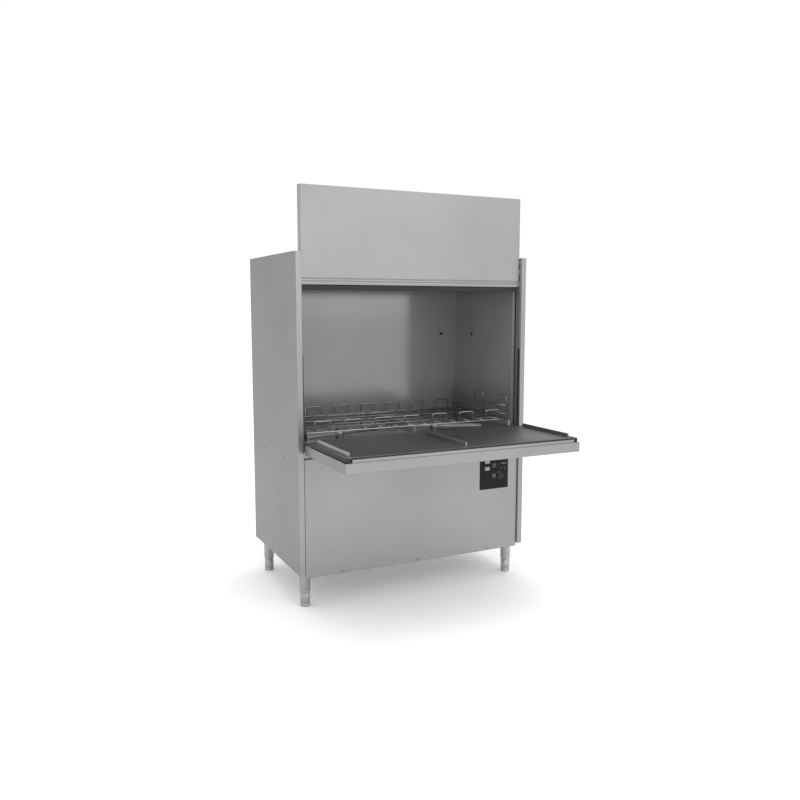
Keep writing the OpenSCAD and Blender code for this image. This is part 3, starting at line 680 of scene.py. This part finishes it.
class WASHER_OT_roof_and_rear(bpy.types.Operator):
    """Make the roof sheet with its raised field, and the screws of the roof and the rear panel."""

    bl_idname = "washer.roof_and_rear"
    bl_label = "Roof and rear"

    def execute(self, context):
        low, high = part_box("roof_panel")
        margin = Vector((100 * MM, 70 * MM, 0))
        lift = Vector((0, 0, 1 * MM))
        bm = bmesh.new()
        rounded_block(bm, low, high, 6 * MM, 4, along="Z")
        rounded_block(bm, low + margin + lift, high - margin + lift, 1 * MM, 2)
        piece("roof_sheet", bm, "panel", "cabinet", "satin_panel", "roof_panel", edge=EDGE)

        inset = 14 * MM
        seam_x = 150 * MM
        gaps_across, gaps_up = 6, 5
        bm = bmesh.new()
        for i in range(gaps_across + 1):
            x = low.x + inset + i * (high.x - low.x - 2 * inset) / gaps_across
            for y in (low.y + inset, high.y - inset):
                pan_head(bm, (x, y, high.z), "+Z")
        low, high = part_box("rear_panel")
        for x in (low.x + inset, -seam_x, seam_x, high.x - inset):
            for i in range(gaps_up + 1):
                z = low.z + inset + i * (high.z - low.z - 2 * inset) / gaps_up
                pan_head(bm, (x, high.y, z), "+Y")
        piece("cover_screws", bm, "wire", "cabinet", "wire_steel")
        return {"FINISHED"}


class WASHER_OT_chamber(bpy.types.Operator):
    """Set the two dark plugs in the chamber's back and right walls."""

    bl_idname = "washer.chamber"
    bl_label = "Chamber plugs"

    plug_radius: FloatProperty(
        name="Plug radius", description="Radius of the wall plugs", default=9 * MM, unit="LENGTH"
    )
    drop: FloatProperty(
        name="Drop", description="Depth of the plugs under the ceiling",
        default=393 * MM, unit="LENGTH",
    )

    def execute(self, context):
        low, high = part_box("chamber_back_wall")
        z = high.z - self.drop
        from_corner = 110 * MM
        from_back = 186 * MM
        height = 3 * MM
        bm = bmesh.new()
        pan_head(bm, (high.x - from_corner, low.y, z), "-Y", self.plug_radius, height)
        pan_head(bm, (high.x, low.y - from_back, z), "-X", self.plug_radius, height)
        piece("chamber_plugs", bm, "rubber", "cabinet", "black_rubber")
        return {"FINISHED"}


class WASHER_OT_upper_door(bpy.types.Operator):
    """Fold the upper door, and make its grooved lip, seal and shoes."""

    bl_idname = "washer.upper_door"
    bl_label = "Upper door"

    def execute(self, context):
        sheet = context.scene.washer_sheet
        low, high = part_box("upper_door_skin")
        inner = high.x
        bm = bmesh.new()
        tray(bm, low, high, ["+Y", "-Z"], sheet.fold)
        piece(
            "upper_door_sheet", bm, "panel", "upper_door", "satin_panel", "upper_door_skin",
            wall=sheet.door_skin, edge=sheet.edge,
        )

        low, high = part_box("upper_door_lip")
        step = 3 * MM
        outline = [(low.y + step, low.z), (low.y, low.z + step)]
        for groove in (16 * MM, 28 * MM):
            foot = low.z + groove
            outline += [
                (low.y, foot),
                (low.y + step, foot + step / 2),
                (low.y + step, foot + 1.5 * step),
                (low.y, foot + 2 * step),
            ]
        outline += [(low.y, high.z), (high.y, high.z), (high.y, low.z)]
        bm = bmesh.new()
        extruded(bm, outline, "X", low.x, high.x)
        piece(
            "upper_door_grip", bm, "lip", "upper_door", "bright_trim", "upper_door_lip", edge=EDGE
        )

        low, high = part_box("upper_door_seal")
        bm = bmesh.new()
        rounded_block(bm, low, high, 2.5 * MM, along="X")
        piece(
            "upper_door_lip_seal", bm, "rubber", "upper_door", "black_rubber", "upper_door_seal",
            edge=EDGE,
        )

        low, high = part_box("guide_shoes")
        length = 24 * MM
        bm = bmesh.new()
        for _, sign in SIDES:
            x0, x1 = span(sign, inner, high.x)
            for z in (low.z, high.z - length):
                rounded_block(bm, (x0, low.y, z), (x1, high.y, z + length), 3 * MM)
        piece("upper_door_shoes", bm, "nylon", "upper_door", "white_nylon", "guide_shoes")
        return {"FINISHED"}


class WASHER_OT_lower_door(bpy.types.Operator):
    """Fold the lower door's tray and pan, and make its rails, front bar and gasket."""

    bl_idname = "washer.lower_door"
    bl_label = "Lower door"

    corner: FloatProperty(
        name="Corner block", description="Side of the gasket's corner blocks",
        default=28 * MM, unit="LENGTH",
    )

    def fold_tray(self, sheet):
        """The outer tray, whose floor runs on under the hinge blocks."""
        low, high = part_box("lower_door_skin")
        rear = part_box("hinge_blocks")[1].y
        cover = Vector((0.2 * MM, 0, 0))  # hides the ends of the hinge blocks
        floor_z = low.z + 0.2 * MM
        bm = bmesh.new()
        tray(bm, low - cover, high + cover, ["+Z", "+Y"], 4 * MM)
        bmesh.ops.bisect_plane(
            bm, geom=bm.verts[:] + bm.edges[:] + bm.faces[:], plane_co=(0, rear, 0),
            plane_no=(0, 1, 0), dist=SEAM,
        )
        spots = [(f, f.calc_center_median()) for f in bm.faces]
        gone = [f for f, spot in spots if spot.y > rear and spot.z > floor_z]
        bmesh.ops.delete(bm, geom=gone, context="FACES")
        folded = piece(
            "lower_door_tray", bm, "lip", "lower_door", "bright_trim", "lower_door_skin",
            wall=sheet.thickness, edge=sheet.edge,
        )
        # painted shade on the tray's left and right faces
        paint_sides(folded, "side")

    def press_pan(self, wide, front, deck):
        """The pan and the rim around it, both notched for the hinge lugs."""
        low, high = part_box("lower_door_pan")
        lug_low, lug_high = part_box("hinge_lugs")
        notch_y = lug_low.y - 6 * MM
        notch_in = lug_high.x - 16 * MM
        notch_out = lug_high.x + 3 * MM
        inner_end = [(notch_in, notch_y), (notch_in, high.y)]
        rim = [(high.x, low.y), (high.x, high.y), (notch_out, high.y), (notch_out, notch_y)]
        bm = bmesh.new()
        extruded(bm, both_halves(rim + inner_end), "Z", low.z, deck)
        piece("lower_door_rim", bm, "lip", "lower_door", "bright_trim", edge=EDGE)

        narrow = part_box("lower_door_gasket")[1].x - self.corner
        shoulder = front + self.corner + 1 * MM
        pan = [(narrow, front), (narrow, shoulder), (wide, shoulder), (wide, notch_y)]
        bm = bmesh.new()
        extruded(bm, both_halves(pan + inner_end), "Z", deck, high.z)
        bevel(bm, bm.edges[:], 1.5 * MM)
        # the pan's dark steel is painted reflection
        piece("lower_door_pan_sheet", bm, "dark", "lower_door", "dark_steel", "lower_door_pan")

    def execute(self, context):
        sheet = context.scene.washer_sheet
        low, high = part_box("lower_door_gasket")
        front = low.y
        wide = high.x - 6 * MM
        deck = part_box("lower_door_pan")[0].z + sheet.thickness  # top of the rim's sheet
        self.fold_tray(sheet)
        self.press_pan(wide, front, deck)

        rail_x = wide - 0.5 * MM
        rail_y = front + 5 * MM
        rail_z = high.z - 1 * MM
        rail_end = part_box("door_runners")[1].y
        path = [(-rail_x, rail_end), (-rail_x, rail_y), (rail_x, rail_y), (rail_x, rail_end)]
        run = ([(x, y, rail_z) for x, y in path], 4.5 * MM, 14 * MM, False)
        wires("lower_door_side_rails", [run], "lip", "lower_door", "bright_trim")

        reach = high.x - self.corner + 0.5 * MM
        bar_top = deck + 15 * MM
        bm = bmesh.new()
        rounded_block(
            bm, (-reach, front - 5 * MM, deck - 0.5 * MM), (reach, front + 1 * MM, bar_top), 1 * MM
        )
        piece("lower_door_front_bar", bm, "lip", "lower_door", "bright_trim")

        corner_y = front + self.corner
        soft = 2.4 * MM
        bm = bmesh.new()
        for _, sign in SIDES:
            x0, x1 = span(sign, high.x - self.corner, high.x)
            rounded_block(bm, (x0, front, low.z), (x1, corner_y, high.z), 4 * MM, 4)
            x0, x1 = span(sign, wide, high.x)
            rounded_block(bm, (x0, corner_y - 2 * MM, low.z), (x1, high.y, high.z - 1 * MM), soft)
        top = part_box("lower_door_pan")[1].z + 0.5 * MM
        rounded_block(
            bm, (-reach, front - 3 * MM, bar_top - 1 * MM), (reach, front + 18 * MM, top), soft
        )
        piece("lower_door_seal", bm, "rubber", "lower_door", "black_rubber", "lower_door_gasket")
        return {"FINISHED"}


class WASHER_OT_controls(bpy.types.Operator):
    """Make the control fascia with its windows, keys, button and light marks."""

    bl_idname = "washer.controls"
    bl_label = "Controls"

    def make_fascia(self, low, high):
        """The fascia's plate, raised rim and display windows."""
        front = low.y
        back = front + 2 * MM
        bm = bmesh.new()
        rounded_block(bm, (low.x, front + 1.2 * MM, low.z), high, 4 * MM, 4, "Y")
        piece(
            "fascia_plate", bm, "plastic", "cabinet", "black_plastic", "control_fascia", edge=EDGE
        )

        rim = 2 * MM
        bm = bmesh.new()
        for z0, z1 in ((low.z, low.z + rim), (high.z - rim, high.z)):
            rounded_block(bm, (low.x, front, z0), (high.x, back, z1), 0.6 * MM, 2)
        for x0, x1 in ((low.x, low.x + rim), (high.x - rim, high.x)):
            rounded_block(bm, (x0, front, low.z), (x1, back, high.z), 0.6 * MM, 2)
        piece("fascia_rim", bm, "plastic", "cabinet", "black_plastic")

        low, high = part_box("display_windows")
        height = 19.8 * MM
        bm = bmesh.new()
        for z in (low.z, high.z - height):
            rounded_block(
                bm, (low.x, front + 0.3 * MM, z), (high.x, back, z + height), 1.5 * MM, along="Y"
            )
        piece(
            "fascia_windows", bm, "window", "cabinet", "window_plastic", "display_windows",
            edge=0.2 * MM,
        )

    def make_key(self, name, ring):
        """A square key on a round stem, with a ring of light on its cap."""
        low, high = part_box(name)
        centre = middle(name)
        cap = 3.6 * MM
        stem_r, stem = 4 * MM, 8 * MM
        bm = bmesh.new()
        rounded_block(bm, low, (high.x, low.y + cap, high.z), 1.6 * MM)
        profile = [(0, 0), (stem_r, 0), (stem_r, stem), (0, stem)]
        turned(bm, profile, (centre.x, high.y - stem, centre.z), "+Y", SMALL_STEPS)
        piece(f"{name}_cap", bm, "key", name, "key_plastic", name)
        bm = bmesh.new()
        profile = tube(ring, ring + 0.9 * MM, 0, 0.3 * MM)
        turned(bm, profile, (centre.x, low.y - 0.1 * MM, centre.z), "+Y", 32)
        piece(f"{name}_mark", bm, "mark", name, "window_plastic")

    def make_button(self):
        """The round start button, with a dished cap on a stem."""
        low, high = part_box("start_button")
        centre = middle("start_button")
        r = (high.x - low.x) / 2
        cap, depth = 3.6 * MM, high.y - low.y
        stem_r = 4 * MM
        bm = bmesh.new()
        profile = [
            (0, 0.5 * MM), (0.55 * r, 0.4 * MM), (0.8 * r, 0), (0.95 * r, 0.2 * MM), (r, 1 * MM),
            (r, cap), (stem_r, cap), (stem_r, depth), (0, depth),
        ]
        turned(bm, profile, (centre.x, low.y, centre.z), "+Y")
        piece("start_button_cap", bm, "button", "start_button", "button_plastic", "start_button")

    def execute(self, context):
        low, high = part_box("control_fascia")
        self.make_fascia(low, high)
        self.make_key("program_key", ring=3.2 * MM)
        self.make_key("power_key", ring=5.2 * MM)
        self.make_button()

        # each mark: middle across, middle up, width and height, in mm from the fascia's corner
        marks = [(157.5, 141, 37, 5), (125.5, 92, 19, 3), (145, 113, 5, 5), (167, 112, 5, 5)]
        near, far = low.y + 0.9 * MM, low.y + 1.6 * MM
        bm = bmesh.new()
        for x, z, w, h in marks:
            rounded_block(
                bm,
                (low.x + (x - w / 2) * MM, near, low.z + (z - h / 2) * MM),
                (low.x + (x + w / 2) * MM, far, low.z + (z + h / 2) * MM),
                0.25 * MM, 2,
            )
        piece("fascia_marks", bm, "mark", "cabinet", "window_plastic")
        return {"FINISHED"}


class WASHER_OT_feet(bpy.types.Operator):
    """Turn the four feet, with their collars and screw adjusters."""

    bl_idname = "washer.feet"
    bl_label = "Feet"

    tube_radius: FloatProperty(
        name="Tube radius", description="Radius of the upper tubes", default=28 * MM, unit="LENGTH"
    )
    foot_radius: FloatProperty(
        name="Foot radius", description="Radius of the lower adjusters",
        default=25.5 * MM, unit="LENGTH",
    )

    def execute(self, context):
        low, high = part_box("feet_tubes")
        r, h = self.tube_radius, high.z - low.z  # radius and height of a tube
        upper = [
            (0, 0), (r - 3 * MM, 0), (r - 1 * MM, 1 * MM), (r, 3 * MM), (r, 8 * MM),
            (r - 0.8 * MM, 9 * MM), (r, 10 * MM), (r, h - 3 * MM), (r, h), (0, h),
        ]
        q, g = self.foot_radius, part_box("feet_adjusters")[1].z  # the same of an adjuster
        lower = [
            (0, 0), (q - 2 * MM, 0), (q - 0.6 * MM, 0.8 * MM), (q, 2.4 * MM), (q, 15 * MM),
            (q - 1.2 * MM, 16 * MM), (q - 1.2 * MM, 18 * MM), (q, 19 * MM), (q, g - 8 * MM),
            (q - 3 * MM, g - 5 * MM), (q - 3 * MM, g), (0, g),
        ]
        tubes, screws = bmesh.new(), bmesh.new()
        for x in (low.x + r, high.x - r):
            for y in (low.y + r, high.y - r):
                turned(tubes, upper, (x, y, low.z))
                turned(screws, lower, (x, y, 0))
        piece("foot_tubes", tubes, "frame", "cabinet", "frame_steel", "feet_tubes")
        piece("foot_screws", screws, "frame", "cabinet", "frame_steel", "feet_adjusters")
        return {"FINISHED"}


class WASHER_OT_rack(bpy.types.Operator):
    """Bend and weld the wires of the rack."""

    bl_idname = "washer.rack"
    bl_label = "Rack"

    def make_grid(self, wire, x, y0, y1):
        """The rim, its middle wire and the two layers of base wires."""
        low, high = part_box("rack_base")
        z = low.z + wire.rim / 2
        rim = [(-x, y0, z), (x, y0, z), (x, y1, z), (-x, y1, z)]
        runs = [(rim, wire.rim, 12 * MM, True), ([(0, y0, z), (0, y1, z)], wire.rim, 0, False)]
        z = low.z + wire.rim + wire.grid / 2
        margin = 20 * MM
        reach = (x - margin) * (wire.bars - 1) / wire.bars  # half a gap inside the margin
        for i in range(wire.bars):
            at = -reach + 2 * reach * i / (wire.bars - 1)
            runs.append(([(at, low.y, z), (at, high.y, z)], wire.grid, 0, False))
        z += wire.grid
        end = x + 2 * MM
        gaps = 6  # between the wires that run from left to right
        for i in range(1, gaps):
            y = y0 + (y1 - y0) * i / gaps
            runs.append(([(-end, y, z), (end, y, z)], wire.grid, 0, False))
        wires("rack_grid", runs, "wire", "rack", "wire_steel", "rack_base")

    def execute(self, context):
        wire = context.scene.washer_rack
        low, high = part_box("rack_base")
        r = wire.rim / 2
        x, y0, y1 = high.x - r, low.y + r, high.y - r
        self.make_grid(wire, x, y0, y1)

        base = low.z + wire.rim
        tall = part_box("rack_loops")[1].z - wire.loop / 2
        short = base + 53.5 * MM
        half_side, half_front = 46 * MM, 44 * MM  # half the width of a loop
        pitch = 0.283 * x
        bend = 7 * MM
        rail_x = x - wire.loop / 2 - wire.grid / 2 + 0.3 * MM
        runs = []
        for _, sign in SIDES:
            for y in (y0 + half_side, (y0 + y1) / 2, y1 - half_side):
                stops = [(-1, base), (-1, tall), (1, tall), (1, base)]
                points = [(sign * x, y + s * half_side, z) for s, z in stops]
                runs.append((points, wire.loop, bend, False))
            for share in (0.2, 0.56):
                z = base + (tall - base) * share
                rail = [(sign * rail_x, y0, z), (sign * rail_x, y1, z)]
                runs.append((rail, wire.grid, 0, False))
        for y in (y0, y1):
            for i in range(-3, 4):
                stops = [(-1, base), (-1, short), (1, short), (1, base)]
                points = [(i * pitch + s * half_front, y, z) for s, z in stops]
                runs.append((points, wire.loop, bend, False))
        wires("rack_wire_loops", runs, "wire", "rack", "wire_steel", "rack_loops")
        return {"FINISHED"}


class WASHER_OT_spray_arms(bpy.types.Operator):
    """Make the four spray arms, with their jets and hubs."""

    bl_idname = "washer.spray_arms"
    bl_label = "Spray arms"

    width: FloatProperty(
        name="Width", description="Width of an arm", default=34 * MM, unit="LENGTH"
    )
    jets: IntProperty(name="Jets", description="Jets on each half of an arm", default=4, min=1)

    def make_arm(self, half):
        """An arm that lies along X with its jets up and its hub's foot at the origin."""
        bore, hub = 8.05 * MM, 30 * MM
        side, ridge = self.width / 2, 5 * MM
        bm = bmesh.new()
        rounded_block(bm, (-half, -side, 4 * MM), (half, side, 26 * MM), 7 * MM, 4)
        rounded_block(
            bm, (-half * 0.9, -ridge, 24 * MM), (half * 0.9, ridge, 29 * MM), 1.5 * MM, 2
        )
        profile = [
            (bore, 0), (hub - 2 * MM, 0), (hub, 2 * MM), (hub, 30 * MM), (20 * MM, 38 * MM),
            (16 * MM, 40 * MM), (bore, 40 * MM), (bore, 0),
        ]
        turned(bm, profile, (0, 0, 0))
        hole, jet, foot = 1.5 * MM, 6 * MM, 24 * MM
        hub_gap, tip_gap = 40 * MM, 20 * MM
        profile = [
            (hole, foot), (jet, foot), (jet, foot + 5 * MM), (jet - 1.5 * MM, foot + 8 * MM),
            (hole, foot + 8 * MM), (hole, foot),
        ]
        for _, sign in SIDES:
            for i in range(1, self.jets + 1):
                x = sign * (hub_gap + (half - hub_gap - tip_gap) * i / self.jets)
                turned(bm, profile, (x, 0, 0), steps=24)
        return bm

    def execute(self, context):
        turns = {
            "lower_left_arm": 18, "lower_right_arm": -24,
            "upper_left_arm": -20, "upper_right_arm": 26,
        }
        for name, degrees in turns.items():
            low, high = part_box(name)
            centre = middle(name)
            angle = math.radians(degrees)
            reach = (high.x - low.x) / 2 - self.width / 2 * abs(math.sin(angle))
            bm = self.make_arm(reach / math.cos(angle))
            place = Matrix.Rotation(angle, 4, "Z")
            if name.startswith("upper"):
                place = Matrix.Translation((centre.x, centre.y, high.z)) @ place
                place = place @ Matrix.Rotation(math.pi, 4, "X")
            else:
                place = Matrix.Translation((centre.x, centre.y, low.z)) @ place
            bmesh.ops.transform(bm, matrix=place, verts=bm.verts)
            piece(f"{name}_tube", bm, "frame", name, "frame_steel", name)
        return {"FINISHED"}


class WASHER_OT_services(bpy.types.Operator):
    """Add the thread, barbs and nuts of the service fittings on the back."""

    bl_idname = "washer.services"
    bl_label = "Service fittings"

    def make_thread(self, at, reach):
        """The thread of the water inlet."""
        r, wall = 13.2 * MM, 3 * MM
        lead, pitch, crest = 4 * MM, 1.8 * MM, 0.25 * MM
        profile = [(r - wall, 0), (r, 0), (r, lead)]
        h = lead
        while h < reach - 3 * MM:
            profile += [(r + crest, h + 0.5 * MM), (r, h + 1 * MM), (r, h + 1.6 * MM)]
            h += pitch
        profile += [(r - 0.8 * MM, reach), (r - wall, reach), (r - wall, 0)]
        bm = bmesh.new()
        turned(bm, profile, at, "+Y")
        piece("inlet_thread", bm, "brass", "cabinet", "frame_steel")

    def make_barbs(self, at, reach):
        """The barbs of the drain's spigot."""
        r, wall = 16 * MM, 3 * MM
        lead, pitch, length, crest = 4 * MM, 6 * MM, 4.5 * MM, 0.9 * MM
        profile = [(r - wall, 0), (r, 0)]
        for i in range(4):
            h = lead + i * pitch
            profile += [(r, h), (r + crest, h), (r, h + length)]
        profile += [(r, reach), (r - wall, reach), (r - wall, 0)]
        bm = bmesh.new()
        turned(bm, profile, at, "+Y")
        piece("drain_barbs", bm, "pump", "cabinet", "pump_plastic")

    def execute(self, context):
        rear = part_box("rear_panel")[1].y
        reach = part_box("inlet_valve")[1].y - rear
        inlet_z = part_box("dosing_pumps")[0].z + 71.5 * MM
        drain_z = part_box("drain_pump")[0].z + 61.5 * MM
        self.make_thread((middle("inlet_valve").x, rear, inlet_z), reach)
        self.make_barbs((middle("drain_pump").x, rear, drain_z), reach)

        centre = middle("cable_gland")
        core, nut = 8 * MM, 13.2 * MM
        hexagon = 6
        bm = bmesh.new()
        for start, height in ((0.2 * MM, 6.8 * MM), (14 * MM, 8 * MM)):
            at = (centre.x, rear + start, centre.z)
            turned(bm, tube(core, nut, 0, height), at, "+Y", hexagon)
        piece("gland_nuts", bm, "plastic", "cabinet", "black_plastic", edge=EDGE)
        return {"FINISHED"}


class WASHER_OT_stage(bpy.types.Operator):
    """Set the floor, the soft lights and the camera."""

    bl_idname = "washer.stage"
    bl_label = "Studio"

    def execute(self, context):
        scene = context.scene
        stage = scene.washer_stage
        white = (1, 1, 1, 1)
        bm = bmesh.new()
        bmesh.ops.create_grid(bm, x_segments=2, y_segments=2, size=stage.floor_size / 2)
        mesh = bpy.data.meshes.new("studio_floor")
        bm.to_mesh(mesh)
        bm.free()
        floor = bpy.data.objects.new("studio_floor", mesh)
        scene.collection.objects.link(floor)
        paint = moulded("studio_paint", stage.floor, 0.8, 30.0, spread=0.01, bump=0.0)
        shader = paint.node_tree.nodes["Principled BSDF"]
        shader.inputs["Emission Color"].default_value = white
        shader.inputs["Emission Strength"].default_value = stage.glow
        mesh.materials.append(paint)

        world = bpy.data.worlds.new("studio")
        scene.world = world
        world.use_nodes = True
        sky = world.node_tree.nodes["Background"]
        sky.inputs["Color"].default_value = white
        sky.inputs["Strength"].default_value = stage.sky
        scene.view_settings.view_transform = "Standard"

        target = (CAD_LOW + CAD_HIGH) / 2
        # each light: its place, power and side
        lights = {
            "key_light": ((2.4, -6.0, 3.6), stage.key, 4.5),
            "top_light": ((0.3, -0.4, 6.0), stage.key * stage.top_share, 4.0),
        }
        for name, (place, power, side) in lights.items():
            light = bpy.data.lights.new(name, "AREA")
            light.energy = power
            light.size = side
            holder = bpy.data.objects.new(name, light)
            scene.collection.objects.link(holder)
            holder.location = place
            aim = (target - Vector(place)).to_track_quat("-Z", "Y")
            holder.rotation_euler = aim.to_euler()

        eye = bpy.data.cameras.new("camera")
        eye.lens = stage.lens
        eye.sensor_width = 36
        camera = bpy.data.objects.new("camera", eye)
        scene.collection.objects.link(camera)
        camera.location = stage.camera_place
        camera.rotation_euler = stage.camera_turn
        scene.camera = camera
        return {"FINISHED"}


# -------- add-on
PIECES = (
    WASHER_OT_finishes, WASHER_OT_side_panels, WASHER_OT_front, WASHER_OT_roof_and_rear,
    WASHER_OT_chamber, WASHER_OT_upper_door, WASHER_OT_lower_door, WASHER_OT_controls,
    WASHER_OT_feet, WASHER_OT_rack, WASHER_OT_spray_arms, WASHER_OT_services, WASHER_OT_stage,
)
SETTINGS = {
    "washer_sheet": WASHER_PG_sheet,
    "washer_finish": WASHER_PG_finish,
    "washer_rack": WASHER_PG_rack,
    "washer_stage": WASHER_PG_stage,
}


class WASHER_PT_panel(bpy.types.Panel):
    """Lists the washer's settings and pieces in the sidebar."""

    bl_idname = "WASHER_PT_panel"
    bl_label = "Utensil washer"
    bl_space_type = "VIEW_3D"
    bl_region_type = "UI"
    bl_category = "Washer"

    def draw(self, context):
        for name, group in SETTINGS.items():
            box = self.layout.box()
            for setting in group.__annotations__:
                box.prop(getattr(context.scene, name), setting)
        for item in PIECES:
            self.layout.operator(item.bl_idname)


def register():
    """Registers the settings, the operators and the panel."""
    for name, group in SETTINGS.items():
        bpy.utils.register_class(group)
        setattr(bpy.types.Scene, name, PointerProperty(type=group))
    for item in (*PIECES, WASHER_PT_panel):
        bpy.utils.register_class(item)


def unregister():
    """Removes what register() added."""
    for item in reversed((*PIECES, WASHER_PT_panel)):
        bpy.utils.unregister_class(item)
    for name, group in SETTINGS.items():
        delattr(bpy.types.Scene, name)
        bpy.utils.unregister_class(group)


def main():
    """Builds the washer."""
    register()
    for item in PIECES:
        group, name = item.bl_idname.split(".")
        getattr(getattr(bpy.ops, group), name)()


if __name__ == "__main__":
    main()
